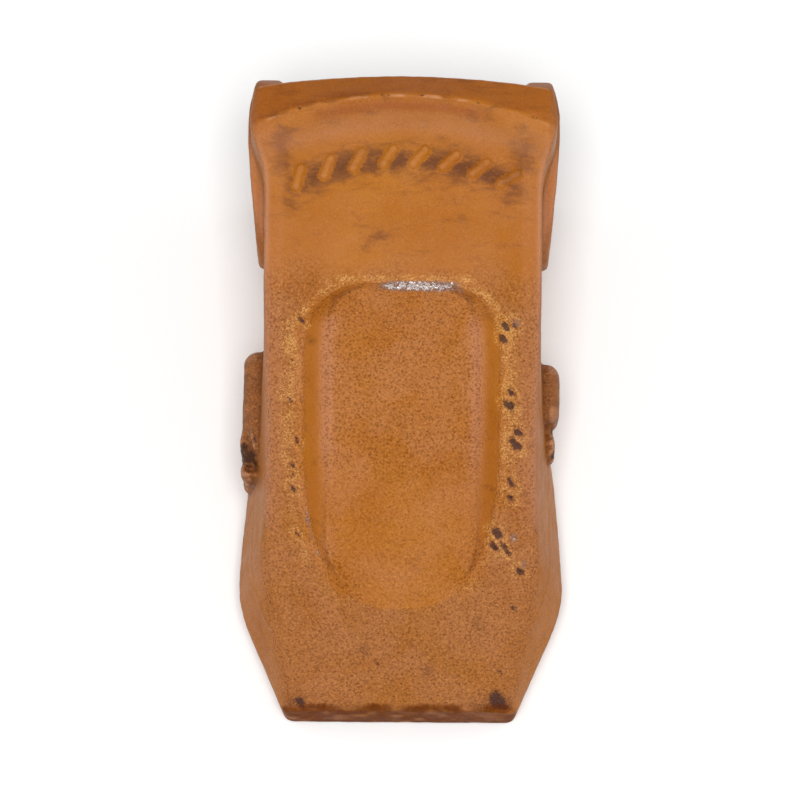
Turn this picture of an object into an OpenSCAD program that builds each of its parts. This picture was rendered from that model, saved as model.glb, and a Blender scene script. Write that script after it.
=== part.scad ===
// Excavator bucket tooth: a cast wedge-socket tip with side ears, its lock pin and its split retainer.
// Millimetres. +X is right, the cutting edge points to -Y, the socket opens to +Y and the tip rests on z = 0.

/* [Casting] */
// Length from the cutting edge to the rear of the ears
tooth_len = 218; // [212:1:224]
// Width across the flare behind the cutting edge
flare_w = 112; // [108:1:118]
// Width across the waist in front of the ears
waist_w = 94.8; // [94:0.2:98]
// Width of the cutting edge
edge_w = 80; // [70:1:88]
// Height of the blunt cutting edge
edge_t = 19; // [14:0.5:24]
// Height of the top face just in front of the collar
rear_h = 102.5; // [101:0.5:108]
// Height of the top face behind the pocket
mid_h = 88.5; // [86:0.5:92]
// Height of the top face at the flare
flare_h = 44; // [38:0.5:50]

/* [Ears] */
// Radius of the ear bosses around the lock pin
ear_r = 33; // [31:0.5:34]
// Half the width across the ears at the lock pin
ear_x = 53.2; // [52.8:0.1:54]
// Inward slope of the ears' outer faces towards the tip, in degrees
ear_slope = 4; // [0:0.5:5]

/* [Socket] */
// Depth from the rear of the top wall to the end pad
socket_depth = 94; // [86:1:96]
// Width of the socket at the rear of the top wall
mouth_w = 80.6; // [78:0.2:82]
// Height of the socket at the rear of the top wall
mouth_h = 75; // [68:1:77]
// Width of the end pad
pad_w = 60; // [50:1:62]
// Height of the end pad
pad_h = 22; // [18:1:24]
// Height of the socket's axis and the lock pin above the base
axis_z = 50; // [49:0.5:51]

/* [Pocket] */
// Greatest depth of the wear pocket below the top face
pocket_depth = 9.5; // [4:0.5:12]
// Greatest half-width of the pocket's rim
pocket_x = 34; // [32:0.5:37]

/* [Lock] */
// Diameter of the lock pin
pin_d = 22; // [20:0.5:23]
// Length of the lock pin
pin_len = 103; // [99:0.5:104]
// Diameter of the cast bores through the ears
bore_d = 24; // [23.5:0.5:25]
// Outer diameter of the split retainer
ring_d = 45; // [40:0.5:47]
// Thickness of the split retainer along the pin
ring_t = 9.2; // [8:0.1:9.4]

/* [Hidden] */
$fn = 96;

casting_paint = "#b9743a";
pin_steel = "#7d7b78";
ring_steel = "#4a4c50";

front_y = -tooth_len / 2;
rear_y = tooth_len / 2;
pin_y = rear_y - ear_r;
wall_rear_y = rear_y - 17; // the rear of the top wall, on the centre line
flare_y = front_y + 39;
waist_y = front_y + 150;
mid_y = front_y + 129;
neck_y = front_y + 166;
shoulder_y = front_y + 180;
crest_y = wall_rear_y - 10;
edge_round = 3;
flank_z = 14; // height of the widest line of the sides
below = 5; // overlap below the base, trimmed off flat
over = 30;
ear_depth = 16; // from the ear's outer face into the wall

// One section per row: y, half-width of the sides, half-width of the top face, height of the top face
body_sections = [
    [front_y, edge_w / 2 - 1.5, edge_w / 2 - 3.5, edge_t - 2],
    [front_y + edge_round, edge_w / 2 + 1, edge_w / 2 - 1, edge_t + 1.5],
    [flare_y - 3, flare_w / 2 - 0.9, flare_w / 2 - 9, flare_h - 1.6],
    [flare_y + 3, flare_w / 2, flare_w / 2 - 8.7, flare_h + 1.6],
    [flare_y + 17, flare_w / 2 - 0.8, flare_w / 2 - 10.6, flare_h + 9.4],
    [front_y + 84, flare_w / 2 - 2.6, flare_w / 2 - 10.8, flare_h + 22.5],
    [front_y + 108, waist_w / 2 + 2.6, waist_w / 2 - 1, mid_h - 9.5],
    [mid_y, waist_w / 2 + 0.6, waist_w / 2 - 0.4, mid_h],
    [waist_y, waist_w / 2, waist_w / 2 - 0.4, mid_h + (rear_h - mid_h) * 0.36],
    [neck_y, waist_w / 2 + 0.6, waist_w / 2, mid_h + (rear_h - mid_h) * 0.6],
    [shoulder_y, waist_w / 2 + 0.6, waist_w / 2 + 3.6, mid_h + (rear_h - mid_h) * 0.82],
    [crest_y, waist_w / 2 + 0.6, waist_w / 2 + 4, rear_h],
    [rear_y, waist_w / 2 + 0.6, waist_w / 2 + 2.4, rear_h + 1],
];

// One section per row: y, half-width, half-height, corner radius
pad_y = wall_rear_y - socket_depth;
pad_len = 18;
socket_sections = [
    [pad_y + pad_len - 1, pad_w / 2 - 0.8, pad_h / 2 - 0.8, 3],
    [pad_y + 44, mouth_w / 2 - 2.1, pad_h / 2 + (mouth_h - pad_h) * 0.171, 6],
    [wall_rear_y, mouth_w / 2, mouth_h / 2, 8],
    [rear_y + 7, mouth_w / 2 + 3.2, mouth_h / 2 + 3, 8],
];

// The rear edge and the collar's bead are arcs in plan
rear_arc_r = 300;
band_w = 9.5;
band_drop = 4;
bead_arc_r = 134;
bead_r = 5;
bead_proud = 1.5;
rear_slope = atan((rear_h - mid_h) / (crest_y - mid_y));

// The pocket lies on the sloping face between the flare and the rear of the pocket
face_slope = atan((mid_h - flare_h) / (mid_y - flare_y));
pocket_front_u = -8;
pocket_rear_u = 98;
rim_h = 4;
rim_rear_r = 22;
rim_front_r = 18;
rim_front_x = 11;
floor_inset = 16; // from the widest rim to the centres of the floor's rear corners
floor_rear_u = 88;
floor_rear_r = 8;
floor_front_u = 32;
floor_front_r = 14;

// Plain slanted bars cast in a row across the top face
mark_count = 8;
mark_w = 3.4;
mark_len = 9.2;
mark_h = 1.3;
mark_slant = 38; // degrees from the row's own direction
mark_arc_r = 90;
mark_pitch = 10.4; // along the arc
mark_y = front_y + 170;

groove_x = 34;
groove_w = 6;
groove_d = 20.3;
ring_bore_d = 20.9;
ring_lip_w = 5;
ring_gap = 60; // degrees, open at the top

// Rounded rectangle in the XZ plane at a given y, as points
function rounded_ring(y, hw, hh, r, z0, steps = 5) = [
    for (corner = [[1, 1, 0], [-1, 1, 90], [-1, -1, 180], [1, -1, 270]])
        for (i = [0 : steps])
            let (a = corner[2] + 90 * i / steps)
                [corner[0] * (hw - r) + r * cos(a), y, z0 + corner[1] * (hh - r) + r * sin(a)],
];

// Half of a body section from the base up, mirrored to close it
function body_ring(row) =
    let (
        y = row[0], side = row[1], up = row[2], top = row[3],
        bevel = min(4, top / 5),
        widest = min(flank_z, top / 2),
        half = [[side - 2.5, -below], [side - 1.5, 2], [side, widest], [up + 0.6, top - bevel],
            [up - bevel, top]]
    )
        concat([for (p = half) [p[0], y, p[1]]], [for (i = [4 : -1 : 0]) [-half[i][0], y, half[i][1]]]);

// Closed solid through rings of equal point counts
module loft(rings) {
    n = len(rings[0]);
    last = len(rings) - 1;
    sides = [
        for (k = [0 : last - 1], i = [0 : n - 1])
            let (j = (i + 1) % n, a = k * n, b = a + n)
                each [[a + i, b + j, b + i], [a + i, a + j, b + j]],
    ];
    polyhedron(
        points = [for (ring = rings) each ring],
        faces = concat(sides, [[for (i = [n - 1 : -1 : 0]) i]], [[for (i = [0 : n - 1]) last * n + i]])
    );
}

module body_blank() {
    intersection() {
        difference() {
            loft([for (row = body_sections) body_ring(row)]);
            translate([-flare_w, -tooth_len, -2 * below])
                cube([2 * flare_w, 2 * tooth_len, 2 * below]);
        }
        translate([0, wall_rear_y - rear_arc_r, -over])
            cylinder(r = rear_arc_r, h = rear_h + 2 * over);
    }
}

// Sloping band behind the bead, cut along the arched rear edge
module rear_band_cut() {
    inner = rear_arc_r - band_w;
    translate([0, wall_rear_y - rear_arc_r, 0])
        rotate([0, 0, 45])
            rotate_extrude(angle = 90)
                polygon([[inner, rear_h + 0.6], [rear_arc_r + 1, rear_h - band_drop],
                    [rear_arc_r + 1, rear_h + over], [inner, rear_h + over]]);
}

module bead() {
    intersection() {
        translate([0, crest_y, rear_h])
            rotate([rear_slope, 0, 0])
                translate([0, -bead_arc_r, bead_proud - bead_r])
                    rotate([0, 0, 60])
                        rotate_extrude(angle = 60)
                            translate([bead_arc_r, 0])
                                circle(r = bead_r);
        translate([-waist_w / 2 + 3.5, 0, 0])
            cube([waist_w - 7, rear_y, rear_h + over]);
    }
}

module ear_boss(side) {
    rim = 4;
    translate([side * ear_x, pin_y, axis_z])
        rotate([0, 0, -side * ear_slope])
            rotate([0, side * -90, 0])
                rotate_extrude()
                    polygon([[0, 0], [ear_r - rim, 0], [ear_r, rim], [ear_r, ear_depth], [0, ear_depth]]);
}

module socket() {
    translate([0, pad_y, axis_z])
        rotate([-90, 0, 0])
            linear_extrude(height = pad_len)
                square([pad_w, pad_h], center = true);
    loft([for (row = socket_sections) rounded_ring(row[0], row[1], row[2], row[3], axis_z)]);
}

// Scoop in the sloping face: a wide rim, a floor that deepens to the rear
module pocket() {
    floor_tilt = atan(pocket_depth / (pocket_rear_u - pocket_front_u));
    translate([0, flare_y, flare_h])
        rotate([face_slope, 0, 0])
            hull() {
                translate([0, 0, 1])
                    linear_extrude(height = rim_h)
                        for (side = [-1, 1]) {
                            translate([side * (pocket_x - rim_rear_r), pocket_rear_u - rim_rear_r])
                                circle(r = rim_rear_r, $fn = 32);
                            translate([side * rim_front_x, pocket_front_u + rim_front_r])
                                circle(r = rim_front_r, $fn = 32);
                        }
                translate([0, pocket_front_u, 0])
                    rotate([-floor_tilt, 0, 0])
                        linear_extrude(height = 0.5)
                            for (side = [-1, 1]) {
                                translate([side * (pocket_x - floor_inset), floor_rear_u])
                                    circle(r = floor_rear_r, $fn = 24);
                                translate([side * floor_front_r, floor_front_u])
                                    circle(r = floor_front_r, $fn = 24);
                            }
            }
}

module cast_marks() {
    for (i = [0 : mark_count - 1]) {
        a = (i - (mark_count - 1) / 2) * mark_pitch / mark_arc_r * 180 / PI;
        back = mark_arc_r * (1 - cos(a));
        y = mark_y - back;
        z = mid_h + (y - mid_y) * tan(rear_slope);
        translate([mark_arc_r * sin(a), y, z])
            rotate([rear_slope, 0, -a - mark_slant])
                translate([-mark_w / 2, -mark_len / 2, -3])
                    cube([mark_w, mark_len, 3 + mark_h]);
    }
}

// Remains of the casting's feeders on the sides
module feeder_stubs() {
    translate([0, 0, 24])
        linear_extrude(height = 22)
            polygon([[-44, front_y + 76], [-54.4, front_y + 76], [-55.6, front_y + 84],
                [-55.2, front_y + 108], [-53.4, front_y + 118], [-50, front_y + 122], [-44, front_y + 122]]);
    translate([0, 0, 26])
        linear_extrude(height = 18)
            polygon([[44, front_y + 98], [53, front_y + 98.5], [55, front_y + 102],
                [55, front_y + 112], [53.4, front_y + 116.5], [50, front_y + 119], [44, front_y + 119]]);
}

module tip_casting() {
    color(casting_paint)
        difference() {
            union() {
                difference() {
                    body_blank();
                    rear_band_cut();
                    pocket();
                }
                bead();
                cast_marks();
                feeder_stubs();
                for (side = [-1, 1])
                    ear_boss(side);
            }
            translate([-flare_w, rear_y, -over])
                cube([2 * flare_w, over, rear_h + 2 * over]);
            socket();
            translate([-flare_w, pin_y, axis_z])
                rotate([0, 90, 0])
                    cylinder(d = bore_d, h = 2 * flare_w);
        }
}

module lock_pin() {
    chamfer = 2;
    color(pin_steel)
        translate([-pin_len / 2, pin_y, axis_z])
            rotate([0, 90, 0])
                difference() {
                    rotate_extrude()
                        polygon([[0, 0], [pin_d / 2 - chamfer, 0], [pin_d / 2, chamfer],
                            [pin_d / 2, pin_len - chamfer], [pin_d / 2 - chamfer, pin_len], [0, pin_len]]);
                    translate([0, 0, pin_len / 2 + groove_x - groove_w / 2])
                        difference() {
                            cylinder(d = pin_d + 4, h = groove_w);
                            cylinder(d = groove_d, h = groove_w);
                        }
                }
}

module retainer_ring() {
    inner = ring_bore_d / 2;
    outer = ring_d / 2;
    lip = ring_lip_w / 2;
    half = ring_t / 2;
    shoulder = inner + 1.6; // the lip below it fits the groove, the ring above it clears the pin
    color(ring_steel)
        translate([groove_x, pin_y, axis_z])
            rotate([0, 90, 0])
                rotate([0, 0, 180 + ring_gap / 2])
                    rotate_extrude(angle = 360 - ring_gap)
                        polygon([[inner, -lip], [shoulder, -lip], [shoulder + 1, -half],
                            [outer - 1.2, -half], [outer, -half + 1.2], [outer, half - 1.2],
                            [outer - 1.2, half], [shoulder + 1, half], [shoulder, lip], [inner, lip]]);
}

tip_casting();
lock_pin();
retainer_ring();
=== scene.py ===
import math

import bpy
import numpy as np
import openvdb
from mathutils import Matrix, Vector


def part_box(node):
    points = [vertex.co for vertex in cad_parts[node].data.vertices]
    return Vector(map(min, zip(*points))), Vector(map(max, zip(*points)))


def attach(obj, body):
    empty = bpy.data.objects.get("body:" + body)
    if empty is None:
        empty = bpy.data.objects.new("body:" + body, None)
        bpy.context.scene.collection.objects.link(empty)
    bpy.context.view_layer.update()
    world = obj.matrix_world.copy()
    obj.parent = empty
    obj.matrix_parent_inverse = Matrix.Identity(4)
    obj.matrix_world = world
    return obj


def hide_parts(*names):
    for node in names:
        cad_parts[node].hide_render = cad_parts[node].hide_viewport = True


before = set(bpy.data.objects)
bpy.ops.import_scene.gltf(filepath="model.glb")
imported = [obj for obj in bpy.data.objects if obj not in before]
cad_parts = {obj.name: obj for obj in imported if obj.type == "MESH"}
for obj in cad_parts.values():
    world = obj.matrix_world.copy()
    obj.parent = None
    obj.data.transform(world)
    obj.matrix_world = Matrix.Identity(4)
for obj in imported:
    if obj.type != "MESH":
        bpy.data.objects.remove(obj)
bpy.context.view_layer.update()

# ---------------------------------------------------------------- driving sizes, in millimetres
# x is to the right, s is the distance behind the cutting edge and z the height above the base.

MM = 0.001

tip_low, tip_high = [np.array(corner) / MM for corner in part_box("tip_casting")]
pin_low, pin_high = [np.array(corner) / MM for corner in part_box("lock_pin")]
ring_low, ring_high = [np.array(corner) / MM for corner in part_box("retainer_ring")]

FRONT_Y = tip_low[1]
LENGTH = tip_high[1] - FRONT_Y
FLARE_X = tip_high[0]
CREST_Z = tip_high[2]
AXIS_Z = (pin_low[2] + pin_high[2]) / 2
PIN_R = (pin_high[2] - pin_low[2]) / 2
PIN_S = (pin_low[1] + pin_high[1]) / 2 - FRONT_Y
EAR_R = LENGTH - PIN_S
EAR_DEPTH = 16
BORE_R = PIN_R + 1
WALL_S = LENGTH - 17                      # rear of the top wall on the centre line
BEAD_S = WALL_S - 10                      # crest of the collar on the centre line
PAD_S = WALL_S - 94                       # end pad of the socket
REAR_ARC_R = 300
BEAD_ARC_R = 134
EDGE_T = 19.0
FLARE_S = 39.0
FLARE_Z = 44.0
POCKET_S = 128.8                          # rear rim of the pocket
MID_Z = 88.5
REAR_Z = CREST_Z - 1.6
BAND_Z = REAR_Z - 4                       # height of the arched rear edge
WIDEST_Z = 14.0
PARTING_Z = 31.0
NOSE_X = 39.7                             # half-width at the cutting edge
NOSE_SPREAD = 0.438                       # its growth for each millimetre behind the edge
EAR_STEP = 1.2                            # how far the shoulder stands inside the ear's face
MARK_S = 171                              # middle of the row of marks
MARK_ARC_R = 90.0
MARK_PITCH = 10.4
MARK_COUNT = 8
POCKET_DEEP = 8
POCKET_TAIL_S = 98                        # where the pocket's floor starts to rise to its rear rim
VOXEL = 0.75

# ---------------------------------------------------------------- field helpers


def smax(a, b, k):
    """Larger of two distances with the corner rounded over k: an intersection with a soft edge."""
    return np.maximum(a, b) + np.maximum(k - np.abs(a - b), 0) ** 2 / (4 * k)


def smin(a, b, k):
    """Smaller of two distances with the corner filled over k: a union with a fillet."""
    return -smax(-a, -b, k)


def curve(points, soft):
    """A function through the points, with its corners softened over about soft millimetres."""
    step = 0.25
    at = np.arange(-30.0, 260.0, step)
    xs, ys = np.array(points, dtype=float).T
    reach = int(4 * soft / step) + 1
    weight = np.exp(-0.5 * (np.arange(-reach, reach + 1) * step / soft) ** 2)
    padded = np.pad(np.interp(at, xs, ys), reach, mode="edge")
    smooth = np.convolve(padded, weight / weight.sum(), mode="valid")
    return lambda s: np.interp(s, at, smooth)


def ramp(value, low, high):
    """0 below low, 1 above high and a smooth rise between."""
    t = np.clip((value - low) / (high - low), 0, 1)
    return t * t * (3 - 2 * t)


def noise(x, y, z, size, seed):
    """Smooth value noise from -1 to 1 with features about size millimetres across."""
    cells = np.random.default_rng(seed).uniform(-1, 1, (64, 64, 64)).astype(np.float32)
    whole, part = [], []
    for axis in (x, y, z):
        scaled = axis / size + 17.3
        floor = np.floor(scaled)
        t = scaled - floor
        whole.append(floor.astype(np.int64) & 63)
        part.append(t * t * (3 - 2 * t))
    total = 0
    for i in (0, 1):
        for j in (0, 1):
            for k in (0, 1):
                share = 1
                for t, far in zip(part, (i, j, k)):
                    share = share * (t if far else 1 - t)
                total = total + share * cells[(whole[0] + i) & 63, (whole[1] + j) & 63, (whole[2] + k) & 63]
    return total


def rounded_box(x, y, z, centre, half, r):
    q = [np.abs(a - c) - (h - r) for a, c, h in zip((x, y, z), centre, half)]
    outside = np.sqrt(sum(np.maximum(a, 0) ** 2 for a in q))
    return outside + np.minimum(np.maximum(np.maximum(q[0], q[1]), q[2]), 0) - r


def capsule(x, y, z, a, b, r):
    along = [q - p for p, q in zip(a, b)]
    t = sum((v - p) * d for v, p, d in zip((x, y, z), a, along)) / sum(d * d for d in along)
    t = np.clip(t, 0, 1)
    return np.sqrt(sum((v - p - t * d) ** 2 for v, p, d in zip((x, y, z), a, along))) - r


def pin_axis_distance(s, z):
    return np.sqrt((s - PIN_S) ** 2 + (z - AXIS_Z) ** 2)


# ---------------------------------------------------------------- the casting's shape

front_slope = math.atan((FLARE_Z - EDGE_T) / FLARE_S)
face_slope = math.atan((MID_Z - FLARE_Z) / (POCKET_S - FLARE_S))
rear_slope = math.atan((REAR_Z - MID_Z) / (BEAD_S - POCKET_S))

# Half-widths along the tip: of the sides low down, of the top face, and of the ears' outer faces
flank_low = curve([(-30, 57), (FLARE_S, FLARE_X + 0.4), (46, FLARE_X), (60, 55.2), (84, 53.3), (100, 51),
                   (120, 48.5), (135, 47.6), (150, 47.3), (175, 47.8), (260, 48.2)], 5)
flank_up = curve([(-30, 47.6), (40, 47.6), (46, 47.2), (58, 45.4), (70, 45), (93, 45.6), (110, 46.4),
                  (129, 46.8), (150, 46.8), (164, 47), (170, 48), (176, 50.3), (181, 52), (185, 52.2),
                  (190, 51.5), (201, 50.6), (260, 50)], 2)
ear_face = curve([(140, 48.4), (150, 50), (157, 51), (171, 52.4), (179, 53), (187, 53.3), (195, 53.5),
                  (201, 53), (206, 52.4), (212, 52), (222, 51.2)], 2.5)

socket_x = curve([(PAD_S, 29.6), (PAD_S + 18, 30.2), (PAD_S + 44, 38.2), (WALL_S, 40.3), (LENGTH, 43)], 1.5)
socket_z = curve([(PAD_S, 11), (PAD_S + 18, 11), (WALL_S, 37.5), (LENGTH, 40)], 1.5)


def oblong(s, front, rear, half, front_reach, rear_reach, power):
    """Half-width at s of an oblong with superelliptic ends."""
    before = np.clip((front + front_reach - s) / front_reach, 0, 1)
    after = np.clip((s - rear + rear_reach) / rear_reach, 0, 1)
    return half * ((1 - before ** power) * (1 - after ** power)) ** (1 / power)


def pocket_rim(s):
    return oblong(s, front=30, rear=POCKET_S + 1.7, half=34.3, front_reach=54, rear_reach=22.5, power=2.5)


def pocket_crease(s):
    return oblong(s, front=30, rear=POCKET_S + 5, half=27.5, front_reach=34, rear_reach=26, power=2.6)


def pocket_floor(s):
    """Depth of the pocket: a long run-in from the front and a rounded rear end."""
    after = np.clip((s - POCKET_TAIL_S) / (POCKET_S + 0.6 - POCKET_TAIL_S), 0, 1)
    return POCKET_DEEP * ramp(s, 27, 80) * (1 - after ** 2) ** 0.6


def plane_above(s, z, s0, z0, slope):
    return (z - z0 - (s - s0) * math.tan(slope)) * math.cos(slope)


def pocket_depth(x, s):
    rim, crease, floor = pocket_rim(s), pocket_crease(s), pocket_floor(s)
    into = np.clip((rim - np.abs(x)) / np.maximum(rim - crease, 2), 0, 1.6)
    return floor * smin(1.0, into ** 1.5, 0.7)


def top_face(x, s, z):
    front = plane_above(s, z, 0, EDGE_T, front_slope)
    middle = plane_above(s, z, FLARE_S, FLARE_Z, face_slope)
    rear = plane_above(s, z, POCKET_S, MID_Z, rear_slope)
    crown = 0.5 * (x / 47) ** 2
    return smax(smax(front, middle, 3), rear, 4) + crown + pocket_depth(x, s) * math.cos(face_slope)


def top_height(s):
    front = EDGE_T + s * math.tan(front_slope)
    middle = FLARE_Z + (s - FLARE_S) * math.tan(face_slope)
    return np.minimum(np.minimum(front, middle), MID_Z + (s - POCKET_S) * math.tan(rear_slope))


def sides(x, s, z):
    across = np.abs(x)
    rise = np.maximum(z - WIDEST_Z, 0)
    draft = 0.06 * np.maximum(WIDEST_Z - z, 0)
    lean = (flank_low(s) - flank_up(s)) / np.maximum(top_height(s) - WIDEST_Z, 20)
    flank = (across - flank_low(s) + lean * rise + draft) / np.sqrt(1 + lean ** 2)
    inward = flank_up(s) - ear_face(s) + EAR_STEP
    shoulder = ear_face(s) - EAR_STEP + inward * np.clip((z - AXIS_Z) / 45, 0, 1)
    flank = flank + (across - shoulder - flank) * ramp(s, 166, 182) * ramp(z, 44, 62)
    nose = (across - (NOSE_X + NOSE_SPREAD * s) + 0.36 * rise + draft) * 0.87
    seam = 0.28 * np.exp(-(((z - PARTING_Z) / 0.9) ** 2))
    return smax(flank, nose, 4) - seam


def bead_radius(x, s):
    return np.sqrt(x ** 2 + (s - BEAD_S + BEAD_ARC_R) ** 2) - BEAD_ARC_R


def collar(x, s, z, top):
    """The thickened band at the rear: it swells up to a crest, then falls to the arched rear edge.

    Gives the band's field and the distance beyond that edge.
    """
    ahead = bead_radius(x, s)
    swell = 1.3 * ramp(ahead, -11, -1) ** 1.6 - 0.3 * np.exp(-(((ahead + 5.5) / 1.8) ** 2))
    ridge = 0.6 + 0.35 * noise(x, s, z, 6, 12)
    crest = top - swell - ridge * np.exp(-(((ahead + 0.2) / 0.9) ** 2))
    radius = np.sqrt(x ** 2 + (s - WALL_S + REAR_ARC_R) ** 2) - REAR_ARC_R
    share = np.clip(ahead / np.maximum(ahead - radius, 4), 0, 1)
    band = (top_height(s - np.maximum(ahead, 0)) + 2.1) * (1 - share) + BAND_Z * share
    step = (z - band) * 0.85
    return smax(crest, step, 0.5), radius


def ear(x, s, z):
    face = np.abs(x) - ear_face(s)
    radius = pin_axis_distance(s, z)
    dish = 0.5 * ramp(radius, BORE_R + 3, BORE_R + 6) - 0.5
    boss = smax(face - dish, radius - EAR_R, 2)
    return np.maximum(boss, -face - EAR_DEPTH)


def stubs(x, s, z):
    """What is left of the casting's feeders: a torn one at the left, a dressed one at the right."""
    left = rounded_box(x, s, z, (-48.2, 102.2, 34), (6.6, 19.6, 11.5), 5)
    torn = rounded_box(x, s, z, (-48.9, 84, 32), (5.8, 8.5, 11), 3)
    ragged = 0.7 * noise(x, s, z, 3.6, 3) + 0.35 * noise(x, s, z, 1.7, 5)
    left = smin(left + 0.25 * noise(x, s, z, 6, 6), torn + ragged, 3)
    left = smax(left, 2.2 - capsule(x, s, z, (-55, 91, 45), (-51.5, 79, 43), 0.0), 1.5)
    right = rounded_box(x, s, z, (48.4, 107.5, 35), (6, 10.6, 9.5), 4.6) + 0.2 * noise(x, s, z, 7, 4)
    lumps = rounded_box(x, s, z, (48.7, 91.5, 32), (4, 6, 4.6), 1.8) + 0.9 * noise(x, s, z, 2.4, 7)
    return np.minimum(np.minimum(left, right), lumps)


def marks(x, s, top):
    """A plain row of slanted half-round ribs on an arc, cast in where a foundry mark would be."""
    ribs = np.full_like(top, 50.0)
    half, r, slant = 3.0, 1.8, math.radians(38)
    for i in range(MARK_COUNT):
        turn = (i - (MARK_COUNT - 1) / 2) * MARK_PITCH / MARK_ARC_R
        dx = x - MARK_ARC_R * math.sin(turn)
        ds = s - MARK_S + MARK_ARC_R * (1 - math.cos(turn))
        lean = turn + slant
        across = dx * math.cos(lean) - ds * math.sin(lean)
        along = np.maximum(np.abs(dx * math.sin(lean) + ds * math.cos(lean)) - half, 0)
        ribs = np.minimum(ribs, np.sqrt(across ** 2 + along ** 2 + (top + 0.4) ** 2) - r)
    return ribs


def socket(x, s, z):
    r = 3 + 5 * np.clip((s - PAD_S - 18) / 76, 0, 1)
    qx, qz = np.abs(x) - socket_x(s) + r, np.abs(z - AXIS_Z) - socket_z(s) + r
    hole = np.sqrt(np.maximum(qx, 0) ** 2 + np.maximum(qz, 0) ** 2) + np.minimum(np.maximum(qx, qz), 0) - r
    return smax(hole * 0.96, PAD_S - s, 3)


def casting(x, s, z):
    """Signed distance to the casting's surface in millimetres, below zero inside the steel."""
    top = top_face(x, s, z)
    side = sides(x, s, z)
    raised, edge = collar(x, s, z, top)
    body = smax(raised, side, 4.5 - 2 * ramp(s, 178, 192))
    body = smax(body, edge, 1.2)
    body = smax(body, -s, 2.4)
    body = smin(body, stubs(x, s, z), 1.8)
    body = smin(body, ear(x, s, z), 2.5)
    body = smin(body, marks(x, s, top), 0.6)
    body = smax(body, -z, 3.0)
    body = smax(body, s - LENGTH, 1.5)
    body = smax(body, -socket(x, s, z), 2.4)
    bore = pin_axis_distance(s, z) - BORE_R
    return smax(body, -bore, 1.4)


# ---------------------------------------------------------------- from a field to a mesh


def sample(field, low, step, counts):
    """Field values on a grid; blocks that the surface can't reach are only marked inside or outside."""
    block = 12
    blocks = -(-np.array(counts) // block)
    index = np.stack(np.meshgrid(*[np.arange(n) for n in blocks], indexing="ij"), axis=-1).reshape(-1, 3)
    centre = field(*(low + (index + 0.5) * block * step).T)
    values = np.empty((len(index), block ** 3), dtype=np.float32)
    values[:] = np.where(centre > 0, 4 * step, -4 * step)[:, None]
    near = np.flatnonzero(np.abs(centre) < 1.35 * block * step * math.sqrt(3) / 2 + 2)
    inner = np.stack(np.meshgrid(*[np.arange(block)] * 3, indexing="ij"), axis=-1).reshape(-1, 3) * step
    for part in np.array_split(near, max(1, len(near) // 150)):
        at = (low + index[part] * block * step)[:, None, :] + inner[None]
        values[part] = field(at[..., 0], at[..., 1], at[..., 2])
    values = values.reshape(*blocks, block, block, block).transpose(0, 3, 1, 4, 2, 5)
    return np.ascontiguousarray(values.reshape(blocks * block))


def placed(field):
    """The same field, taking the frame's y instead of the distance behind the cutting edge."""
    return lambda x, y, z: field(x, y - FRONT_Y, z)


def gradient(field, points, reach):
    return np.stack([(field(*(points + reach * unit).T) - field(*(points - reach * unit).T)) / (2 * reach)
                     for unit in np.eye(3)], axis=1)


def surface(field, low, high, step):
    """Points, normals and quads of the surface where the field is zero, inside a box."""
    low, high = np.array(low) - 3 * step, np.array(high) + 3 * step
    counts = np.ceil((high - low) / step).astype(int) + 1
    grid = openvdb.FloatGrid(4.0)
    grid.copyFromArray(np.clip(sample(field, low, step, counts) / step, -4, 4))
    points, _, quads = grid.convertToPolygons(0.0, 0.0)
    points = points.astype(np.float64) * step + low
    for _ in range(3):
        slope = gradient(field, points, 0.12)
        move = -slope * (field(*points.T) / np.maximum((slope ** 2).sum(1), 0.05))[:, None]
        size = np.sqrt((move ** 2).sum(1))[:, None]
        points += move * np.minimum(1, 0.5 * step / np.maximum(size, 1e-9))
    slope = gradient(field, points, 0.35)
    normals = slope / np.maximum(np.sqrt((slope ** 2).sum(1)), 1e-6)[:, None]
    return main_island(points, normals, quads)


def main_island(points, normals, faces):
    """Drops everything that isn't joined to the largest connected surface."""
    label, last = np.arange(len(points)), None
    while last is None or not np.array_equal(label, last):
        last = label.copy()
        lowest = label[faces].min(axis=1)
        for corner in range(faces.shape[1]):
            np.minimum.at(label, faces[:, corner], lowest)
        label = label[label]
    keep = label == np.bincount(label).argmax()
    fresh = np.cumsum(keep) - 1
    return points[keep], normals[keep], fresh[faces[keep[faces[:, 0]]]]


def curvature(field, points, normals, reach):
    """How far the field's surface bends away over a short reach: above zero on edges, below in corners."""
    tangent = np.cross(normals, [0.3, 0.2, 0.93])
    tangent /= np.maximum(np.sqrt((tangent ** 2).sum(1)), 1e-6)[:, None]
    other = np.cross(normals, tangent)
    around = [field(*(points + reach * step).T) for step in (tangent, -tangent, other, -other)]
    return sum(around) / (4 * reach)


def build(name, points, faces, layers=None):
    """A mesh object from arrays, with its named values per point."""
    mesh = bpy.data.meshes.new(name)
    count, corners = faces.shape
    mesh.vertices.add(len(points))
    mesh.vertices.foreach_set("co", (np.asarray(points) * MM).astype(np.float32).ravel())
    mesh.loops.add(count * corners)
    mesh.loops.foreach_set("vertex_index", faces.astype(np.int32).ravel())
    mesh.polygons.add(count)
    mesh.polygons.foreach_set("loop_start", np.arange(0, count * corners, corners, dtype=np.int32))
    for label, values in (layers or {}).items():
        mesh.attributes.new(label, "FLOAT", "POINT").data.foreach_set("value", values.astype(np.float32))
    mesh.update(calc_edges=True)
    mesh.validate()
    mesh.shade_smooth()
    piece = bpy.data.objects.new(name, mesh)
    bpy.context.scene.collection.objects.link(piece)
    return piece


# ---------------------------------------------------------------- wear, pits, dirt and painted light and shade on the casting


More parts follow.
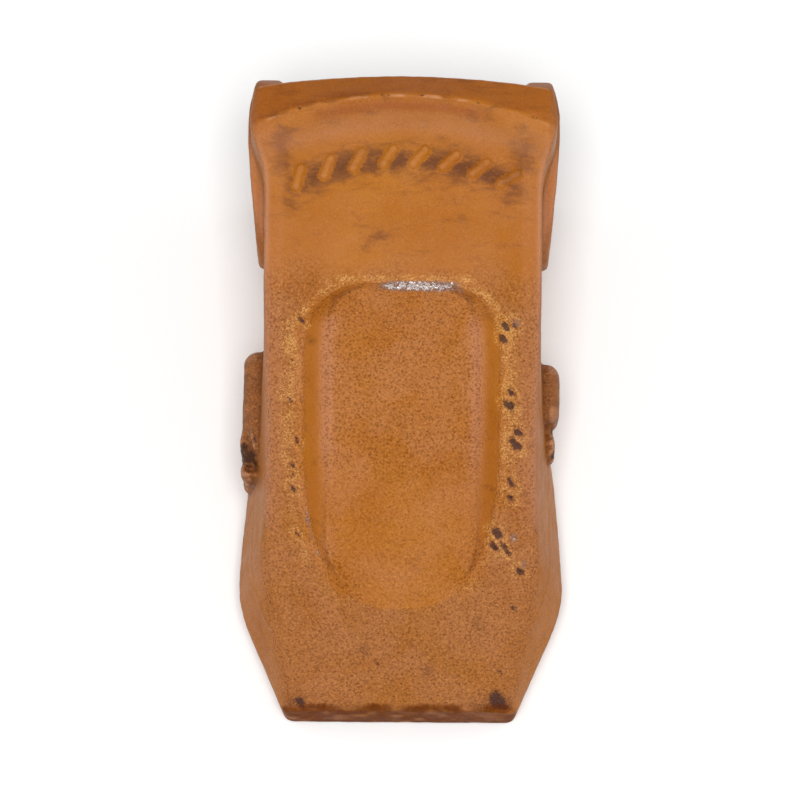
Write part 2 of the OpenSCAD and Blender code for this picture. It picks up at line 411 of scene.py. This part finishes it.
def rim_distance(x, s):
    """Distance in plan from the pocket's rim, above zero outside it."""
    rear_s = 129.1
    along = np.arange(36, 128.6, 1.0)
    rear = np.linspace(0, 23, 24)
    path = np.concatenate([np.stack([pocket_rim(along), along], 1), np.stack([rear, rear_s - 0 * rear], 1)])
    best = np.full(len(x), 1e9)
    for px, ps in path:
        best = np.minimum(best, (np.abs(x) - px) ** 2 + (s - ps) ** 2)
    inside = (np.abs(x) < pocket_rim(s)) & (s < rear_s)
    return np.sqrt(best) * np.where(inside, -1, 1)


def scattered():
    """Seeded places for pits (x, s, radius, depth), bare chips and stains (x, s, size) on the top face."""
    chance = np.random.default_rng(11)
    twin_gap = 4.3
    pits, chips, stains = [], [], []
    for side, count, low, high, largest in ((1, 7, 58, 122, 1.6), (-1, 7, 56, 118, 1.0)):
        for s in np.linspace(low, high, count) + chance.uniform(-6, 6, count):
            x = side * (pocket_rim(s) + chance.uniform(1, 5))
            for twin in range(chance.integers(1, 3)):
                radius = largest * chance.uniform(0.65, 1)
                pits.append((x - 0.5 * twin, s - twin_gap * twin, radius, 0.55 * radius))
            if side > 0 and chance.uniform() < 0.3:
                chips.append((x + 4, s + 1, 1.6))
    for _ in range(6):                    # a torn patch beside the pocket's front right corner
        radius = chance.uniform(0.7, 1.4)
        pits.append((chance.normal(35, 3), chance.normal(48, 4), radius, 0.5 * radius))
    for _ in range(3):
        pits.append((chance.uniform(-40, 40), chance.uniform(8, 32), 1.2, 0.3))
        stains.append((chance.uniform(-38, 38), chance.uniform(8, 32), chance.uniform(2, 4)))
        stains.append((chance.uniform(-40, 40), chance.uniform(150, 190), chance.uniform(2, 4)))
    for x in np.linspace(-44, 40, 9) + chance.uniform(-5, 5, 9):   # specks on the collar's ridge
        pits.append((x, BEAD_S - x * x / (2 * BEAD_ARC_R), 0.8, 0.2))
    pits += [(34, 2, 2.8, 1.2), (-34, 2, 1.8, 0.5)]                # broken corners of the cutting edge
    chips += [(38, 52, 1.8), (42, 44, 1.8)]
    stains.append((-8, 145, 5))
    return pits, chips, stains


PITS, CHIPS, STAINS = scattered()


def weather(points, normals):
    """Moves points by the cast surface's roughness, and works out masks for the paint, painted light among
    them.
    """
    x, s, z = points[:, 0], points[:, 1] - FRONT_Y, points[:, 2]
    up = np.clip(normals[:, 2], 0, 1)
    rim = rim_distance(x, s)
    inside = np.clip((0.6 - socket(x, s, z)) / 1.2, 0, 1) * (s > PAD_S - 1)
    bore = np.abs(pin_axis_distance(s, z) - BORE_R) < 0.8
    inside = np.maximum(inside, bore & (np.abs(x) < ear_face(s) - 2))
    outside = 1 - inside

    wander = np.where(x < 0, 3.0, 0.9) + 1.5 * noise(x, s, z, 9, 22)
    side_rim = np.exp(-(((rim - wander) / np.where(rim > wander, 4.2, 2.0)) ** 2)) * ramp(-s, -124, -116)
    rear_rim = np.exp(-(((rim - 1.6) / 1.5) ** 2)) * ramp(s, 112, 122)
    wear = np.maximum(side_rim * (0.45 + 0.55 * ramp(s, 60, 95)), rear_rim) * ramp(up, 0.3, 0.6)
    wear *= 0.6 + 0.5 * noise(x, s, z, 3.2, 21)

    glint = np.exp(-((x - 6) / 13.5) ** 4) * np.exp(-(((rim + 0.3) / 1.2) ** 2)) * (s > 124)
    left_crest = np.exp(-(((rim + 0.2) / 1.0) ** 2)) * (x < 0) * ramp(-s, -68, -62) * ramp(s, 44, 48)
    glint = np.maximum(glint, 0.3 * left_crest * (1 + noise(x, s, z, 2.5, 23)))
    for px, ps, size in CHIPS:
        glint = np.maximum(glint, 0.45 * np.exp(-((x - px) ** 2 + (s - ps) ** 2) / size ** 2) * (up > 0.5))

    pits = np.zeros(len(x))
    depth = np.zeros(len(x))
    spread, drift = noise(x, s, z, 1.5, 31), noise(x, s, z, 1.5, 32)
    for px, ps, radius, deep in PITS:
        dx, ds = x - px + 0.7 * spread, s - ps + 0.7 * drift
        d = np.sqrt(((dx + ds) * 0.85) ** 2 + ((dx - ds) * 0.5) ** 2) / (1.3 * radius)
        here = np.exp(-(d ** 2)) * (up > 0.25)
        wear = np.maximum(wear, 0.65 * np.exp(-(((d - 1.6) / 0.5) ** 2)) * (s > 40) * (s < 130) * (up > 0.5))
        pits = np.maximum(pits, here * min(1, 0.45 + 0.7 * deep))
        depth = np.maximum(depth, here * deep)

    front_part = ramp(4 * noise(x, s, z, 7, 46) - s, -141, -119)
    sand = 0.3 + 0.7 * front_part
    sand = 0.5 + (np.clip(sand, 0, 1) - 0.5) * ramp(up, 0.35, 0.7)
    from_crease = np.abs(x) - pocket_crease(s)
    # Painted highlight: a pale strip on the pocket's floor along the foot of each side wall.
    painted_highlight = np.exp(-(((from_crease + 2) / 2.6) ** 2)) * ramp(s, 62, 90) * ramp(-s, -123, -117)
    wall = ramp(-rim, 0, 2.5) * ramp(from_crease, -3, 2) * ramp(-s, -123, -118) * ramp(s, 42, 56)
    sand = sand * (1 - 0.75 * wall) * (1 - 0.4 * ramp(-rim, 2, 8) * ramp(-s, -84, -68))
    left_soot = np.exp(-((s - 84) / 8) ** 4) * ramp(-x, 48, 50.5) * ramp(z, 24, 34) * (z < 50)
    right_soot = np.exp(-((s - 91) / 7) ** 4) * ramp(x, 51, 52) * ramp(z, 26, 30) * (z < 40)
    ahead = bead_radius(x, s)
    from_marks = np.sqrt(x ** 2 + (s - (MARK_S - MARK_ARC_R)) ** 2) - (MARK_ARC_R - 1)
    mark_arc = np.exp(-(from_marks / 6.5) ** 2) * ramp(-np.abs(x), -46, -34)
    rib = ramp(-marks(x, s, top_face(x, s, z)), -0.5, -0.05)
    # Painted shade in the shallow groove ahead of the collar's crest and on the steep band behind it, with
    # dark patches along the left part of the ridge.
    groove = 0.3 * np.exp(-(((ahead + 5) / 3) ** 2)) + 0.3 * ramp(ahead, 0.3, 1.5)
    groove = groove + 0.45 * np.exp(-(((ahead - 1) / 1.6) ** 2)) * ramp(-x, 0, 15)
    corner = 0.8 * np.exp(-(((np.abs(x) - 41) / 5) ** 2) - ((s - 172) / 9) ** 2)
    stain = sum(0.6 * np.exp(-((x - px) ** 2 + (s - ps) ** 2) / size ** 2) for px, ps, size in STAINS)
    shade = np.exp(-(((ahead + 3.2) / 1.8) ** 2)) * ramp(-np.abs(x), -36, -20) * (up > 0.5)
    shade = np.maximum(shade, 0.7 * ramp(ahead, 0.2, 1.5) * (s > 150) * ramp(up, 0.2, 0.6))
    # Painted highlight along the rounded edges between the top face and the flanks.
    corner_line = np.exp(-(((up - 0.62) / 0.25) ** 2)) * (np.abs(x) > 40) * (z > AXIS_Z)
    corner_line = corner_line * ramp(s, 34, 60) * ramp(-s, -186, -172)
    # Painted light: a pale band on the rise in front of the collar's crest.
    pale_band = 0.35 * np.exp(-(((ahead + 9.5) / 2.8) ** 2)) * (up > 0.5)
    painted_highlight = np.maximum(np.maximum(painted_highlight, 1.2 * corner_line), pale_band)
    # Duller, browner paint on the rails beside the pocket and on the front slope; painted shade in a band
    # ahead of the collar's crest and on the sides of the ears.
    dull_tone_and_shade = ramp(rim, 0, 4) * front_part * ramp(up, 0.4, 0.7)
    dull_tone_and_shade = np.maximum(dull_tone_and_shade, 0.8 * np.exp(-(((ahead + 8) / 4) ** 2)) * (up > 0.5))
    dull_tone_and_shade = np.maximum(dull_tone_and_shade, 0.8 * ramp(s, 148, 156) * (np.abs(x) > 49))
    # Where the pale edges show: not along the pocket's rim or among the marks, patchy on the collar, weaker
    # on the ears.
    edge_reach = (1 - np.clip(1.2 * mark_arc, 0, 0.55)) * (1 - 0.85 * np.exp(-((rim / 2.6) ** 2)))
    edge_reach = edge_reach * np.where(np.abs(ahead) < 3, np.clip(0.3 + 0.55 * noise(x, s, z, 4, 24), 0, 1), 0.7)
    edge_reach = edge_reach * (1 - 0.7 * ramp(s, 148, 156) * (np.abs(x) > 49))
    # Dirt around the row of marks, with painted shade between the ribs.
    between_ribs = 0.95 * mark_arc * (1 - 0.85 * rib)
    # Dirt, stains and painted shade in one mask.
    grime_and_shade = np.maximum(np.maximum(between_ribs, groove * (s > 150)), np.maximum(corner, stain))
    grime_and_shade = grime_and_shade * ramp(up, 0.3, 0.7)
    # The front face made darker: partly dirt, partly painted shade.
    front_dirt_and_shade = ramp(-s, -2.8, -0.2) * (0.55 + 0.45 * noise(x, s, z, 4, 52))
    soot = np.clip(np.maximum(left_soot, right_soot) * (0.75 + 0.6 * noise(x, s, z, 3, 51)), 0, 1)
    stub = ramp(2 - stubs(x, s, z), 0, 1.6) * (np.abs(x) > 46) * (z > 14)

    rough = 0.10 * noise(x, s, z, 9, 41) + 0.07 * noise(x, s, z, 3.4, 42) + 0.05 * noise(x, s, z, 1.8, 43)
    rough = rough + 0.10 * np.minimum(noise(x, s, z, 2.6, 44) + 0.45, 0)
    rough = rough * (0.4 + 0.6 * outside) - 0.08 * wear * np.maximum(noise(x, s, z, 1.6, 45), 0)
    moved = points + normals * (rough - depth)[:, None]
    moved[:, 2] = np.maximum(moved[:, 2], 0)      # the base rests on the ground

    bend = curvature(placed(casting), points, normals, 1.6)
    layers = {
        "wear": wear * outside,
        "glint": glint * outside * ramp(up, 0.1, 0.3),
        "pit": pits,
        "sand": sand,
        "painted_highlight": painted_highlight * ramp(up, 0.1, 0.3),
        "shade": shade,
        "dull_tone_and_shade": dull_tone_and_shade,
        "soot": soot,
        "dirt_and_shade": np.clip(front_dirt_and_shade, 0, 1),
        "grime_and_shade": np.clip(np.maximum(grime_and_shade, 0.75 * stub), 0, 1),
        # Convex edges, made paler: partly wear, partly painted highlight.
        "edge": np.clip(bend * 4, 0, 1) * outside * edge_reach,
        # Concave corners, darkened in the paint as painted shade.
        "cavity": np.clip(-bend * 4, 0, 1) * (1 - np.clip(mark_arc, 0, 0.6)),
        "raw": inside,
    }
    return moved, layers


# ---------------------------------------------------------------- materials


def srgb(*levels):
    """A colour given as 0-255 display levels, as linear values."""
    parts = [v / 255 for v in levels]
    return tuple(v / 12.92 if v <= 0.04045 else ((v + 0.055) / 1.055) ** 2.4 for v in parts) + (1,)


class Shader:
    """Builds a material's nodes with one short call each."""

    def __init__(self, name):
        self.material = bpy.data.materials.new(name)
        self.material.use_nodes = True
        self.tree = self.material.node_tree
        self.surface = self.tree.nodes["Principled BSDF"]
        coords = self.tree.nodes.new("ShaderNodeTexCoord")
        scale = self.tree.nodes.new("ShaderNodeVectorMath")
        scale.operation = "SCALE"
        scale.inputs["Scale"].default_value = 1 / MM
        self.tree.links.new(coords.outputs["Object"], scale.inputs[0])
        self.mm = scale.outputs[0]

    def put(self, socket, value):
        if isinstance(value, bpy.types.NodeSocket):
            self.tree.links.new(value, socket)
        else:
            socket.default_value = value

    def noise(self, size, detail=3, rough=0.55, distortion=0.0, stretch=None):
        node = self.tree.nodes.new("ShaderNodeTexNoise")
        node.inputs["Scale"].default_value = 1 / size
        node.inputs["Detail"].default_value = detail
        node.inputs["Roughness"].default_value = rough
        node.inputs["Distortion"].default_value = distortion
        self.put(node.inputs["Vector"], self.stretched(stretch) if stretch else self.mm)
        return node.outputs["Fac"]

    def stretched(self, factors):
        node = self.tree.nodes.new("ShaderNodeVectorMath")
        node.operation = "MULTIPLY"
        self.put(node.inputs[0], self.mm)
        node.inputs[1].default_value = factors
        return node.outputs[0]

    def cells(self, size):
        node = self.tree.nodes.new("ShaderNodeTexVoronoi")
        node.inputs["Scale"].default_value = 1 / size
        self.put(node.inputs["Vector"], self.mm)
        return node.outputs["Distance"]

    def layer(self, name):
        node = self.tree.nodes.new("ShaderNodeAttribute")
        node.attribute_name = name
        return node.outputs["Fac"]

    def math(self, kind, a, b):
        node = self.tree.nodes.new("ShaderNodeMath")
        node.operation = kind
        self.put(node.inputs[0], a)
        self.put(node.inputs[1], b)
        return node.outputs[0]

    def span(self, value, low, high, to_low=0.0, to_high=1.0):
        node = self.tree.nodes.new("ShaderNodeMapRange")
        node.interpolation_type = "SMOOTHSTEP"
        self.put(node.inputs["Value"], value)
        for label, number in zip(("From Min", "From Max", "To Min", "To Max"), (low, high, to_low, to_high)):
            self.put(node.inputs[label], number)
        return node.outputs[0]

    def mix(self, share, a, b):
        node = self.tree.nodes.new("ShaderNodeMix")
        node.data_type = "RGBA"
        self.put(node.inputs[0], share)
        self.put(node.inputs[6], a)
        self.put(node.inputs[7], b)
        return node.outputs[2]

    def bump(self, height, distance, strength=1.0):
        node = self.tree.nodes.new("ShaderNodeBump")
        node.inputs["Strength"].default_value = strength
        node.inputs["Distance"].default_value = distance * MM
        self.put(node.inputs["Height"], height)
        self.put(self.surface.inputs["Normal"], node.outputs[0])

    def finish(self, **sockets):
        for label, value in sockets.items():
            self.put(self.surface.inputs[label.replace("_", " ")], value)
        return self.material


def casting_paint():
    """Ochre dip paint over rough cast steel, worn through along the pocket's rim, with some painted light
    and shade.
    """
    m = Shader("casting_paint")
    broad, patch, haze = m.noise(34, 3), m.noise(9, 4, 0.6), m.noise(20, 4, 0.6, 0.6)
    grain, fine = m.noise(0.72, 3, 0.65), m.noise(0.4, 2, 0.6)
    wear, glint, pit, sand = m.layer("wear"), m.layer("glint"), m.layer("pit"), m.layer("sand")
    soot, dirt_and_shade, grime_and_shade = m.layer("soot"), m.layer("dirt_and_shade"), m.layer("grime_and_shade")
    edge, cavity, raw = m.layer("edge"), m.layer("cavity"), m.layer("raw")

    colour = m.mix(m.span(broad, 0.35, 0.65), srgb(158, 90, 14), srgb(166, 99, 22))
    rosy = m.math("MULTIPLY", m.span(haze, 0.30, 0.66), m.span(sand, 0.2, 0.9, 0.25, 0.95))
    colour = m.mix(rosy, colour, srgb(172, 108, 56))
    # Dark smudges: random dirt, plus the layer that holds dirt and painted shade.
    smear_and_shade = m.math("ADD", m.noise(4, 5, 0.65, 0.4, stretch=(0.45, 1.0, 1.0)), m.math("MULTIPLY", grime_and_shade, 0.3))
    smudge_and_shade = m.math("MULTIPLY", m.span(smear_and_shade, 0.52, 0.86, 0, 0.8), m.span(sand, 0.2, 0.9, 0.8, 0.1))
    smudge_and_shade = m.math("MAXIMUM", smudge_and_shade, m.math("MULTIPLY", m.span(smear_and_shade, 0.50, 0.80, 0, 0.9), grime_and_shade))
    colour = m.mix(smudge_and_shade, colour, srgb(84, 42, 18))
    tone = m.math("MULTIPLY", m.span(grain, 0.46, 0.70), m.span(sand, 0.1, 0.9, 0.12, 0.6))
    # Painted highlight: pale pink at the pocket's creases, the top face's side edges and ahead of the
    # collar.
    colour = m.mix(m.math("MULTIPLY", m.layer("painted_highlight"), 0.6), colour, srgb(190, 128, 92))
    colour = m.mix(m.math("MULTIPLY", m.layer("shade"), 0.7), colour, srgb(138, 68, 12))
    # Duller, browner paint, with painted shade ahead of the collar's crest and on the ears' sides.
    colour = m.mix(m.math("MULTIPLY", m.layer("dull_tone_and_shade"), 0.35), colour, srgb(140, 88, 52))
    colour = m.mix(tone, colour, srgb(112, 56, 20))
    pale = m.math("MULTIPLY", m.span(grain, 0.46, 0.28), m.span(sand, 0.1, 0.9, 0.10, 0.6))
    colour = m.mix(pale, colour, srgb(194, 132, 72))
    # Painted shade in concave corners.
    colour = m.mix(m.span(cavity, 0.15, 0.9, 0, 0.45), colour, srgb(96, 46, 14))
    holes = m.math("MULTIPLY", m.span(m.cells(1.1), 0.26, 0.08), m.span(sand, 0.3, 0.9, 0.0, 0.5))
    holes = m.math("MULTIPLY", holes, m.span(patch, 0.35, 0.6, 0.35, 1.0))
    colour = m.mix(holes, colour, srgb(88, 44, 22))

    speck = m.noise(0.55, 3, 0.7)
    sparse = m.math("MULTIPLY", m.span(wear, 0.05, 0.4), 0.8)
    worn_speck = m.math("ADD", speck, m.math("MULTIPLY", wear, 0.2))
    yellow = m.math("MULTIPLY", m.span(worn_speck, 0.58, 0.74), sparse)
    colour = m.mix(yellow, colour, srgb(204, 150, 84))
    # Paler convex edges: partly wear, partly painted highlight.
    colour = m.mix(m.span(edge, 0.15, 0.7, 0, 0.6), colour, srgb(200, 144, 106))
    black_dots = m.noise(0.8, 2, 0.6)
    dots = m.span(m.math("ADD", black_dots, m.math("MULTIPLY", cavity, 0.10)), 0.76, 0.80, 0, 0.8)
    colour = m.mix(dots, colour, srgb(62, 32, 18))

    spot = m.noise(0.8, 3, 0.65)
    pitted = m.math("ADD", m.math("MULTIPLY", spot, 0.6), m.math("MULTIPLY", pit, 0.6))
    dark = m.span(pitted, 0.54, 0.72, 0, 0.88)
    colour = m.mix(dark, colour, srgb(62, 36, 32))
    blot = m.math("ADD", m.noise(2.2, 4, 0.65), m.math("MULTIPLY", soot, 0.55))
    burnt = m.math("MULTIPLY", m.span(blot, 0.66, 1.04, 0, 0.9), m.span(soot, 0.0, 0.3))
    colour = m.mix(burnt, colour, srgb(46, 24, 14))
    # Front face darker: partly dirt, partly painted shade.
    grubby_and_shaded = m.math("ADD", m.noise(3.2, 4, 0.65), m.math("MULTIPLY", dirt_and_shade, 0.42))
    colour = m.mix(m.span(dirt_and_shade, 0.1, 0.7, 0, 0.45), colour, srgb(126, 62, 8))
    scuffed_and_shaded = m.math("MULTIPLY", m.span(grubby_and_shaded, 0.30, 0.86, 0, 0.75), m.span(dirt_and_shade, 0.0, 0.4))
    colour = m.mix(scuffed_and_shaded, colour, srgb(88, 36, 4))
    metal_noise = m.noise(1.0, 3, 0.75)
    rubbed = m.math("MULTIPLY", m.span(glint, 0.08, 0.5), 0.9)
    lit = m.math("ADD", metal_noise, m.math("MULTIPLY", glint, 0.3))
    halo = m.math("MULTIPLY", m.span(lit, 0.48, 0.62), rubbed)
    shine = m.math("MULTIPLY", m.span(lit, 0.69, 0.77), rubbed)
    colour = m.mix(halo, colour, srgb(124, 94, 82))
    colour = m.mix(shine, colour, srgb(226, 218, 214))

    bare = m.mix(m.span(patch, 0.35, 0.7), srgb(64, 50, 44), srgb(96, 62, 40))
    thin = m.span(m.math("ADD", raw, m.math("MULTIPLY", m.math("SUBTRACT", patch, 0.5), 0.8)), 0.45, 0.75)
    colour = m.mix(thin, colour, bare)

    rough = m.span(patch, 0.3, 0.7, 0.42, 0.58)
    rough = m.math("ADD", rough, m.math("MULTIPLY", thin, 0.2))
    rough = m.math("SUBTRACT", rough, m.math("MULTIPLY", shine, 0.25))

    pebbles = m.math("MULTIPLY", m.span(m.cells(1.1), 0.05, 0.5), m.span(sand, 0.2, 0.9, 0.1, 0.8))
    height = m.math("ADD", m.math("MULTIPLY", grain, m.span(sand, 0.1, 0.9, 0.35, 1.0)), pebbles)
    height = m.math("ADD", height, m.math("MULTIPLY", fine, 0.2))
    m.bump(height, 0.42, 1.0)
    return m.finish(Base_Color=colour, Roughness=rough, Metallic=m.math("MULTIPLY", shine, 0.9),
                    Specular_IOR_Level=m.span(dirt_and_shade, 0.0, 0.6, 0.15, 0.02))


def worn_steel(name, dark, light, rust, scratch_size, stretch):
    """Machined steel with drawn scratches, a brown bloom of rust, rubbed edges and painted shade in the
    corners.
    """
    m = Shader(name)
    bloom, fine = m.noise(6, 4, 0.6), m.noise(0.6, 3, 0.6)
    scratch = m.noise(scratch_size, 3, 0.6, stretch=stretch)
    edge, cavity = m.layer("edge"), m.layer("cavity")
    rusty = m.span(m.math("ADD", bloom, m.math("MULTIPLY", cavity, 0.2)), 0.50, 0.68, 0, rust)
    rubbed = m.span(m.math("ADD", edge, m.math("MULTIPLY", fine, 0.6)), 0.55, 0.85)
    colour = m.mix(m.span(scratch, 0.35, 0.65), dark, light)
    colour = m.mix(rusty, colour, srgb(112, 68, 40))
    colour = m.mix(m.span(fine, 0.58, 0.72, 0, 0.6), colour, srgb(60, 50, 46))
    # Painted shade in the hollows.
    colour = m.mix(m.span(cavity, 0.2, 0.9, 0, 0.6), colour, srgb(52, 38, 30))
    colour = m.mix(rubbed, colour, srgb(190, 186, 180))
    rough = m.math("ADD", m.span(scratch, 0.3, 0.7, 0.28, 0.42), m.math("MULTIPLY", rusty, 0.3))
    m.bump(m.math("ADD", m.math("MULTIPLY", scratch, 0.5), fine), 0.06, 0.9)
    return m.finish(Base_Color=colour, Roughness=rough, Metallic=m.span(rusty, 0.0, 0.8, 1.0, 0.25))


# ---------------------------------------------------------------- pieces

PIN_HALF = (pin_high[0] - pin_low[0]) / 2
RING_X = (ring_low[0] + ring_high[0]) / 2
RING_HALF = (ring_high[0] - ring_low[0]) / 2
RING_R = (ring_high[1] - ring_low[1]) / 2
GROOVE_R = 10.15
GROOVE_HALF = 3.0
RING_BORE_R = 10.45
LIP_HALF = 2.5
GAP = math.radians(30)                    # half the retainer's opening, at the top


def lock_pin(x, s, z):
    """A plain pin: chamfered and hammered at the ends, centre drilled, with a groove for the retainer."""
    r = pin_axis_distance(s, z)
    inward = PIN_HALF - np.abs(x)
    hammered = 0.14 * np.minimum(noise(x, s, z, 3.5, 61), 0) * (inward < 6)
    body = smax(r - PIN_R, -inward, 0.8)
    body = smax(body, (r - PIN_R + 2 - inward) * 0.7, 1.2) - hammered
    centre = (r - 2.3 + 0.9 * inward) * 0.74
    body = smax(body, -centre, 0.5)
    groove = np.maximum(np.abs(x - RING_X) - GROOVE_HALF, GROOVE_R - r)
    return smax(body, -groove, 0.5)


def retainer(x, s, z):
    """A split ring, open at the top, whose inner lip snaps into the pin's groove."""
    along, back, rise = np.abs(x - RING_X), s - PIN_S, z - AXIS_Z
    r = np.sqrt(back ** 2 + rise ** 2)
    body = smax(r - RING_R, along - RING_HALF, 2.6)
    body = smax(body, RING_BORE_R + 1.9 - r + 0.3 * along / RING_HALF, 1.6)
    lip = smax(smax(along - LIP_HALF, RING_BORE_R - r, 0.9), r - 15, 1)
    body = smin(body, lip, 0.8)
    wedge = np.abs(back) * math.cos(GAP) - rise * math.sin(GAP)
    return smax(body, -wedge, 2.2)


def steel_piece(name, field, low, high, step, material, body, node):
    points, normals, quads = surface(placed(field), low, high, step)
    bend = curvature(placed(field), points, normals, 0.8)
    x, y, z = points.T
    moved = points + normals * (0.03 * noise(x, y, z, 2.2, 71) - 0.03)[:, None]
    piece = build(name, moved, quads, {"edge": np.clip(bend * 3, 0, 1), "cavity": np.clip(-bend * 3, 0, 1)})
    piece.data.materials.append(material)
    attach(piece, body)
    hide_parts(node)


points, normals, quads = surface(placed(casting), tip_low, tip_high, VOXEL)
points, layers = weather(points, normals)
tip = build("tooth_tip", points, quads, layers)
tip.data.materials.append(casting_paint())
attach(tip, "tip")
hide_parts("tip_casting")

pin_look = worn_steel("pin_steel", srgb(128, 124, 120), srgb(162, 158, 153), 0.7, 0.8, (0.08, 1.0, 1.0))
ring_look = worn_steel("ring_steel", srgb(62, 62, 66), srgb(96, 96, 100), 0.45, 1.0, (1.0, 1.0, 1.0))
steel_piece("headless_pin", lock_pin, pin_low, pin_high, VOXEL * 0.7, pin_look,
            "lock_pin", "lock_pin")
steel_piece("split_retainer", retainer, ring_low, ring_high, VOXEL * 0.6, ring_look,
            "retainer", "retainer_ring")

# ---------------------------------------------------------------- stage, light and camera


def floor_plate():
    half = 3.0
    mesh = bpy.data.meshes.new("floor")
    corners = [(-half, -half, 0), (half, -half, 0), (half, half, 0), (-half, half, 0)]
    mesh.from_pydata(corners, [], [(0, 1, 2, 3)])
    floor = bpy.data.objects.new("floor", mesh)
    bpy.context.scene.collection.objects.link(floor)
    m = Shader("floor")
    mesh.materials.append(m.finish(Base_Color=(0.86, 0.86, 0.86, 1), Roughness=0.9))


def soft_light(name, place, target, size, power):
    lamp = bpy.data.lights.new(name, "AREA")
    lamp.shape = "RECTANGLE"
    lamp.size, lamp.size_y = size
    lamp.energy = power
    light = bpy.data.objects.new(name, lamp)
    light.location = place
    light.rotation_euler = (Vector(target) - Vector(place)).to_track_quat("-Z", "Y").to_euler()
    bpy.context.scene.collection.objects.link(light)


def photo_camera():
    """Looks down at 70 degrees from the cutting edge's side, through a long lens."""
    elevation, turn, distance = math.radians(70), math.radians(-0.5), 1.2
    level = math.cos(elevation)
    view = Vector((math.sin(turn) * level, math.cos(turn) * level, -math.sin(elevation)))
    up = Vector((0, math.sin(elevation), math.cos(elevation)))
    aim = Vector((-0.00065, -0.009, AXIS_Z * MM)) + up * 0.0012
    lens = bpy.data.cameras.new("camera")
    lens.sensor_width = 36
    lens.lens = 157.5
    lens.clip_end = 20
    camera = bpy.data.objects.new("camera", lens)
    camera.location = aim - view * distance
    camera.rotation_euler = view.to_track_quat("-Z", "Y").to_euler()
    bpy.context.scene.collection.objects.link(camera)
    bpy.context.scene.camera = camera


def studio():
    floor_plate()
    soft_light("key", (0, -0.60, 1.8), (0, 0, 0.03), (0.8, 0.8), 31)
    soft_light("left", (-1.3, 0.3, 0.8), (0, 0, 0.05), (1.0, 1.0), 3.6)
    soft_light("right", (1.3, 0.3, 0.8), (0, 0, 0.05), (1.0, 1.0), 4.2)
    world = bpy.data.worlds.new("studio")
    world.use_nodes = True
    world.node_tree.nodes["Background"].inputs["Color"].default_value = (1, 1, 1, 1)
    world.node_tree.nodes["Background"].inputs["Strength"].default_value = 0.38
    bpy.context.scene.world = world
    bpy.context.scene.view_settings.view_transform = "Standard"


studio()
photo_camera()
